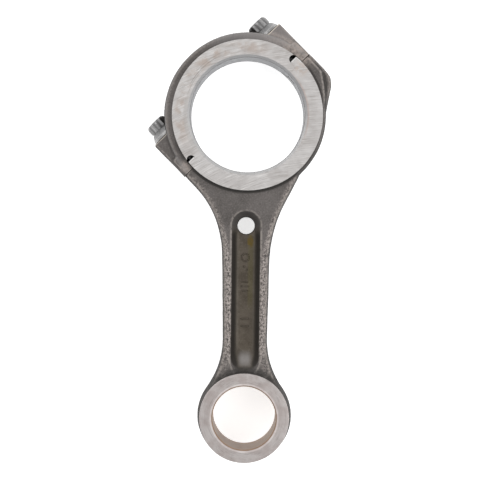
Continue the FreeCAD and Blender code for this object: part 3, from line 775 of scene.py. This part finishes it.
def screw_rows():
    """Rings about a screw's axis from tip to head, each as its heights, radii and a shading value:
    scuffed where high, painted shade where low.
    """
    angle = np.arange(AROUND_SCREW) * 2 * math.pi / AROUND_SCREW
    rows = []

    def row(v, radii, wear_and_shade):
        rows.append((np.full(AROUND_SCREW, float(v)), radii, wear_and_shade))

    def ring(v, radius, wear_and_shade=0.0):
        row(v, np.full(AROUND_SCREW, float(radius)), np.full(AROUND_SCREW, wear_and_shade))

    # tip and helical thread
    ring(SCREW_TIP, 2.0)
    ring(SCREW_TIP, 4.2)
    start = SCREW_TIP + 0.05
    steps = int((THREAD_END - SCREW_TIP) / PITCH * STEPS_PER_TURN)
    for i in range(steps + 1):
        v = start + (THREAD_END - SCREW_TIP - 0.05) * i / steps
        phase = (v / PITCH - angle / (2 * math.pi)) % 1.0
        tooth = np.clip(1.15 - np.abs(phase - 0.5) * 2.5, 0.0, 1.0)
        fade = np.clip((THREAD_END - v) / 1.2, 0.0, 1.0)
        lead = min(1.0, (v - SCREW_TIP) / 1.4)
        crest = THREAD_TIP_R + THREAD_GROWTH * lead
        root = min(THREAD_ROOT, crest)
        row(v, root + (crest - root) * tooth * fade, tooth * 0.9 - 0.6)

    # waist and pilot
    ring(THREAD_END + 0.2, 5.25)
    ring(20.0, WAIST_R)
    ring(21.6, 5.95, 0.3)
    ring(22.2, PILOT_R)
    ring(SEAT_V - 0.7, PILOT_R)
    ring(SEAT_V - 0.02, 6.6)

    # flange
    ring(SEAT_V, 6.8)
    ring(SEAT_V, 9.9, 0.2)
    ring(SEAT_V + 0.35, FLANGE_R, 0.9)
    ring(SEAT_V + 1.7, FLANGE_R, 0.3)
    ring(SEAT_V + 2.1, FLANGE_TOP_R, 0.9)
    for t in np.linspace(0.15, 1.0, 5):
        ring(SEAT_V + 2.1 + 3.1 * t, FLANGE_TOP_R - 2.0 * t, -0.1 - 0.5 * t)

    # twelve-point head, rising out of the flange and rounded off at the top
    point = star(angle, HEAD_R)
    valley = point.min()
    for t in np.linspace(0.0, 1.0, 14):
        v = HEAD_BASE_V + (HEAD_END - 0.15 - HEAD_BASE_V) * t
        grow = min(1.0, t * 7.0)
        limit = HEAD_R - 0.20 * max(0.0, v - (HEAD_END - 2.7)) ** 2
        shape = np.minimum(valley + (point - valley) * grow, limit)
        row(v, shape, (point - valley) / (point.max() - valley) * 1.3 - 0.75)
    row(HEAD_END, np.minimum(point, 6.3) - 0.12, np.full(AROUND_SCREW, 0.5))

    # recess
    ring(HEAD_END, 4.3, 0.1)
    ring(HEAD_END, 3.75, 0.5)
    ring(HEAD_END - 0.4, 3.45, -0.5)
    ring(HEAD_END - 2.0, 3.15, -0.8)
    ring(HEAD_END - 2.2, 2.6, -0.8)
    ring(HEAD_END - 2.2, 1.4, -0.5)
    return angle, rows


def screw(side, name, body):
    """One cap screw as a closed stack of rings: recessed head, flange, waist and real thread."""
    angle, rows = screw_rows()
    v, r, wear_and_shade = (np.array([row[part] for row in rows]).ravel() for part in range(3))
    turn = np.tile(angle, len(rows))
    u = side * SCREW_U + r * np.cos(turn)
    z = r * np.sin(turn)
    points = np.stack([(u - v) / ROOT2, (u + v) / ROOT2, z], 1) * MM
    last = (len(rows) - 1) * AROUND_SCREW
    faces = []
    for i in range(0, last, AROUND_SCREW):
        above = i + AROUND_SCREW
        for j in range(AROUND_SCREW):
            k = (j + 1) % AROUND_SCREW
            faces.append((i + j, i + k, above + k, above + j))
    faces.append(tuple(range(AROUND_SCREW)))
    faces.append(tuple(last + j for j in reversed(range(AROUND_SCREW))))
    mesh = bpy.data.meshes.new(name)
    mesh.from_pydata(points.tolist(), [], faces)
    mesh.update()
    work = bmesh.new()
    work.from_mesh(mesh)
    bmesh.ops.recalc_face_normals(work, faces=work.faces)
    work.to_mesh(mesh)
    work.free()
    store(mesh, "wear_and_shade", wear_and_shade)
    for polygon in mesh.polygons:
        polygon.use_smooth = True
    mesh.set_sharp_from_angle(angle=math.radians(32))
    obj = new_object(name, mesh, SCREW_STEEL)
    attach(obj, body)
    return obj


def screws():
    near = screw(-1, "cap_screw_near_detail", "screw_near")
    far = screw(1, "cap_screw_far_detail", "screw_far")
    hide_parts("cap_screw_near")
    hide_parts("cap_screw_far")


def raised_marks():
    """Plain forging marks in low relief on both channel floors: a ring, dots and bars."""
    x = np.arange(-4.6, 4.6 + MARK_STEP, MARK_STEP)
    y = np.arange(-156.0, -92.0, MARK_STEP)
    gx, gy = np.meshgrid(x, y)

    def stroke(distance, half):
        t = np.clip((half - distance) / MARK_SOFTNESS + 0.5, 0.0, 1.0)
        return t * t * (3 - 2 * t)

    def bar(cx, cy, length):
        over = np.maximum(np.abs(gx - cx) - length / 2, 0.0)
        return np.hypot(over, gy - cy)

    height = stroke(np.abs(np.hypot(gx + 0.3, gy + 101.0) - 2.6), 0.42)
    for cx, cy in ((-1.2, -107.6), (0.9, -110.0)):
        height = np.maximum(height, stroke(np.hypot(gx - cx, gy - cy), 0.75))
    for cy, length in ((-118.5, 3.6), (-121.7, 4.8), (-124.9, 3.6)):
        height = np.maximum(height, stroke(bar(-0.4, cy, length), 0.45))
    for cy in (-145.0, -150.2):
        height = np.maximum(height, stroke(bar(-0.3, cy, 4.6), 0.5))

    # grid cells that carry a mark, as quads over the corners they use
    marked = height > 0.02
    cells = marked[:-1, :-1] | marked[1:, :-1] | marked[:-1, 1:] | marked[1:, 1:]
    columns = gx.shape[1]
    first = np.flatnonzero(cells.ravel())
    first = first // (columns - 1) * columns + first % (columns - 1)
    quads = np.stack([first, first + 1, first + columns + 1, first + columns], 1)
    used, corners = np.unique(quads, return_inverse=True)
    corners = corners.reshape(quads.shape)

    # each mark is a closed relief: top, foot under the channel floor, and walls along the rim
    count = len(used)
    ahead = np.roll(corners, -1, 1)
    forward = (corners * count + ahead).ravel()
    rim = forward[~np.isin(forward, (ahead * count + corners).ravel())]
    start, end = rim // count, rim % count
    walls = np.stack([end, start, start + count, end + count], 1)
    faces = np.concatenate([corners, corners[:, ::-1] + count, walls]).tolist()
    flat = np.stack([gx.ravel(), gy.ravel(), np.zeros(gx.size)], 1)[used]
    rise = height.ravel()[used]
    roll = 0.05 * lattice_noise(flat, 3.4, 4)
    top = WEB_HALF - MARK_SUNK + MARK_RISE * rise - roll
    foot = np.full(count, WEB_HALF - MARK_FOOT)
    # mark tops are scuffed lighter and their edges get painted shade
    wear_and_shade = np.tile(np.clip(rise * 2.1 - 0.95, -0.85, 1), 2)
    x, y = np.tile(flat[:, 0], 2), np.tile(flat[:, 1], 2)
    z = np.concatenate([top, foot])
    for sign, label in ((1, "upper"), (-1, "lower")):
        points = np.stack([x * sign, y, z * sign], 1) * MM
        mesh = bpy.data.meshes.new("forging_marks_" + label)
        mesh.from_pydata(points.tolist(), [], faces)
        mesh.update()
        store(mesh, "wear_and_shade", wear_and_shade)
        for polygon in mesh.polygons:
            polygon.use_smooth = True
        obj = new_object("forging_marks_" + label, mesh, ROD_STEEL)
        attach(obj, "rod")


# ---------------------------------------------------------------- stage

def area_light(name, location, size, power):
    data = bpy.data.lights.new(name, "AREA")
    data.shape = "DISK"
    data.size = size
    data.energy = power
    obj = bpy.data.objects.new(name, data)
    bpy.context.scene.collection.objects.link(obj)
    obj.location = location
    direction = Vector(LIT_POINT) - Vector(location)
    obj.rotation_euler = direction.to_track_quat("-Z", "Y").to_euler()


def studio():
    mesh = bpy.data.meshes.new("floor")
    half = FLOOR_HALF
    z = -BIG_HALF * MM - 0.0002
    corners = [(-half, -half, z), (half, -half, z), (half, half, z), (-half, half, z)]
    mesh.from_pydata(corners, [], [(0, 1, 2, 3)])
    floor = new_object("floor", mesh, pale_floor())
    world = bpy.data.worlds.new("studio")
    world.use_nodes = True
    sky = world.node_tree.nodes["Background"]
    sky.inputs["Color"].default_value = (1.0, 0.998, 0.995, 1.0)
    sky.inputs["Strength"].default_value = SKY
    bpy.context.scene.world = world
    area_light("key", (-0.75, 0.55, 1.25), 0.9, KEY_WATTS)
    area_light("fill", (0.9, -0.3, 1.0), 1.0, FILL_WATTS)
    bpy.context.scene.view_settings.view_transform = "Standard"


def camera():
    """Straight above the shank, a little over a metre up, tilted slightly to centre the rod."""
    data = bpy.data.cameras.new("camera")
    data.sensor_width = SENSOR
    data.lens = CAMERA_LENS
    data.clip_start = 0.01
    data.clip_end = 50.0
    obj = bpy.data.objects.new("camera", data)
    bpy.context.scene.collection.objects.link(obj)
    place = Vector(CAMERA_PLACE) * MM
    back = (place - Vector(CAMERA_TARGET) * MM).normalized()
    right = Vector(CAMERA_UP).cross(back).normalized()
    up = back.cross(right)
    obj.matrix_world = Matrix((right, up, back)).transposed().to_4x4()
    obj.location = place
    bpy.context.scene.camera = obj


big_parts()
bush()
screws()
raised_marks()
studio()
camera()
